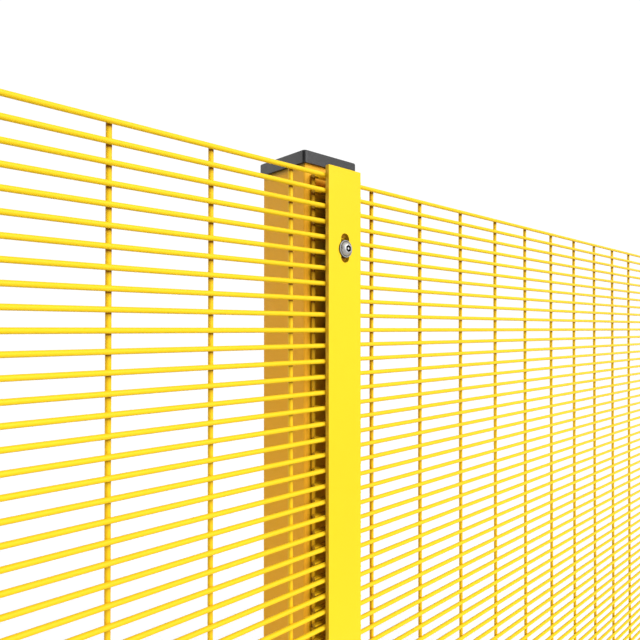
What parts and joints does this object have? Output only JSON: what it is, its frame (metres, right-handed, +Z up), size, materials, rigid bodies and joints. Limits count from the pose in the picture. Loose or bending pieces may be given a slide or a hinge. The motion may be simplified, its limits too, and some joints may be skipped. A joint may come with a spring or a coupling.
{
  "type": "welded mesh fence panel",
  "caption": "Yellow machine-guard fence of close welded wire mesh panels, lapped and clamped by slotted bars to hollow posts with plastic caps and base plates.",
  "frame": {"origin": "centre of the middle post's base plate, on its underside, at floor level", "axes": "+X along the fence to the right as seen from the clamp side, +Y away from the clamp side, +Z up"},
  "size_m": [5.111, 0.158, 2.0165],
  "materials": {
    "mesh": "satin",
    "post": "satin",
    "clamp": "satin",
    "cap": "satin",
    "bolt": "satin"
  },
  "bodies": {
    "root": {"left_base_plate": "post", "left_post": "post", "left_post_cap": "cap", "left_clamp_bar": "clamp", "middle_base_plate": "post", "middle_post": "post", "middle_post_cap": "cap", "middle_clamp_bar": "clamp", "right_base_plate": "post", "right_post": "post", "right_post_cap": "cap", "right_clamp_bar": "clamp", "left_panel_cross_wires": "mesh", "left_panel_line_wires_1": "mesh", "left_panel_line_wires_2": "mesh", "left_panel_line_wires_3": "mesh", "left_panel_line_wires_4": "mesh", "left_panel_line_wires_5": "mesh", "right_panel_cross_wires": "mesh", "right_panel_line_wires_1": "mesh", "right_panel_line_wires_2": "mesh", "right_panel_line_wires_3": "mesh", "right_panel_line_wires_4": "mesh", "right_panel_line_wires_5": "mesh"}
  },
  "joints": []
}
